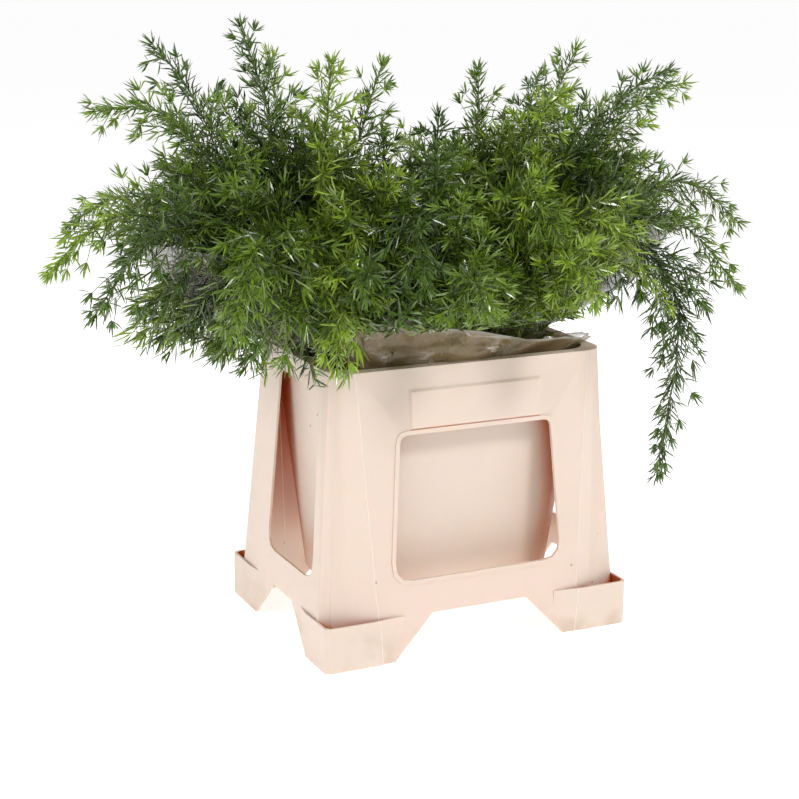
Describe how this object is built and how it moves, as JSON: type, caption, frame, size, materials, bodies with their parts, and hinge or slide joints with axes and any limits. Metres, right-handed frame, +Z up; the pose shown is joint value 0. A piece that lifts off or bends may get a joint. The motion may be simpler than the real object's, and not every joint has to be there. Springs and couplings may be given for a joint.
{
  "type": "cut sprengeri fern in a plastic transport bucket",
  "caption": "Bunches of cut asparagus fern in clear film sleeves, standing in water in a cream plastic transport bucket with a flared, windowed skirt.",
  "frame": {"origin": "bottom centre of the whole part's bounding box, on the surface that the bucket stands on", "axes": "+X to the right along the bucket's wide front, +Y to its back, +Z up"},
  "size_m": [0.9838, 0.6198, 0.7389],
  "materials": {
    "container_plastic": "satin",
    "water": "gloss",
    "clear_film": "gloss",
    "tie_band": "matt",
    "leaf_dark": "satin",
    "leaf_mid": "satin",
    "leaf_light": "satin"
  },
  "bodies": {
    "root": {"container": "container_plastic", "water": "water", "sleeve_left": "clear_film", "tie_left": "tie_band", "sleeve_right": "clear_film", "tie_right": "tie_band", "sleeve_front": "clear_film", "tie_front": "tie_band", "leafy_stem_left_01": "leaf_dark", "leafy_stem_left_02": "leaf_mid", "leafy_stem_left_03": "leaf_light", "leafy_stem_left_04": "leaf_dark", "leafy_stem_left_05": "leaf_mid", "leafy_stem_left_06": "leaf_light", "leafy_stem_left_07": "leaf_dark", "leafy_stem_left_08": "leaf_mid", "leafy_stem_left_09": "leaf_light", "leafy_stem_left_10": "leaf_dark", "leafy_stem_left_11": "leaf_mid", "leafy_stem_left_12": "leaf_light", "leafy_stem_left_13": "leaf_dark", "leafy_stem_left_14": "leaf_mid", "leafy_stem_left_15": "leaf_light", "leafy_stem_left_16": "leaf_dark", "leafy_stem_right_01": "leaf_mid", "leafy_stem_right_02": "leaf_light", "leafy_stem_right_03": "leaf_dark", "leafy_stem_right_04": "leaf_mid", "leafy_stem_right_05": "leaf_light", "leafy_stem_right_06": "leaf_dark", "leafy_stem_right_07": "leaf_mid", "leafy_stem_right_08": "leaf_light", "leafy_stem_right_09": "leaf_dark", "leafy_stem_right_10": "leaf_mid", "leafy_stem_right_11": "leaf_light", "leafy_stem_right_12": "leaf_dark", "leafy_stem_right_13": "leaf_mid", "leafy_stem_right_14": "leaf_light", "leafy_stem_right_15": "leaf_dark", "leafy_stem_right_16": "leaf_mid", "leafy_stem_front_01": "leaf_light", "leafy_stem_front_02": "leaf_dark", "leafy_stem_front_03": "leaf_mid", "leafy_stem_front_04": "leaf_light", "leafy_stem_front_05": "leaf_dark", "leafy_stem_front_06": "leaf_mid", "leafy_stem_front_07": "leaf_light", "leafy_stem_front_08": "leaf_dark", "leafy_stem_front_09": "leaf_mid", "leafy_stem_front_10": "leaf_light"}
  },
  "joints": []
}
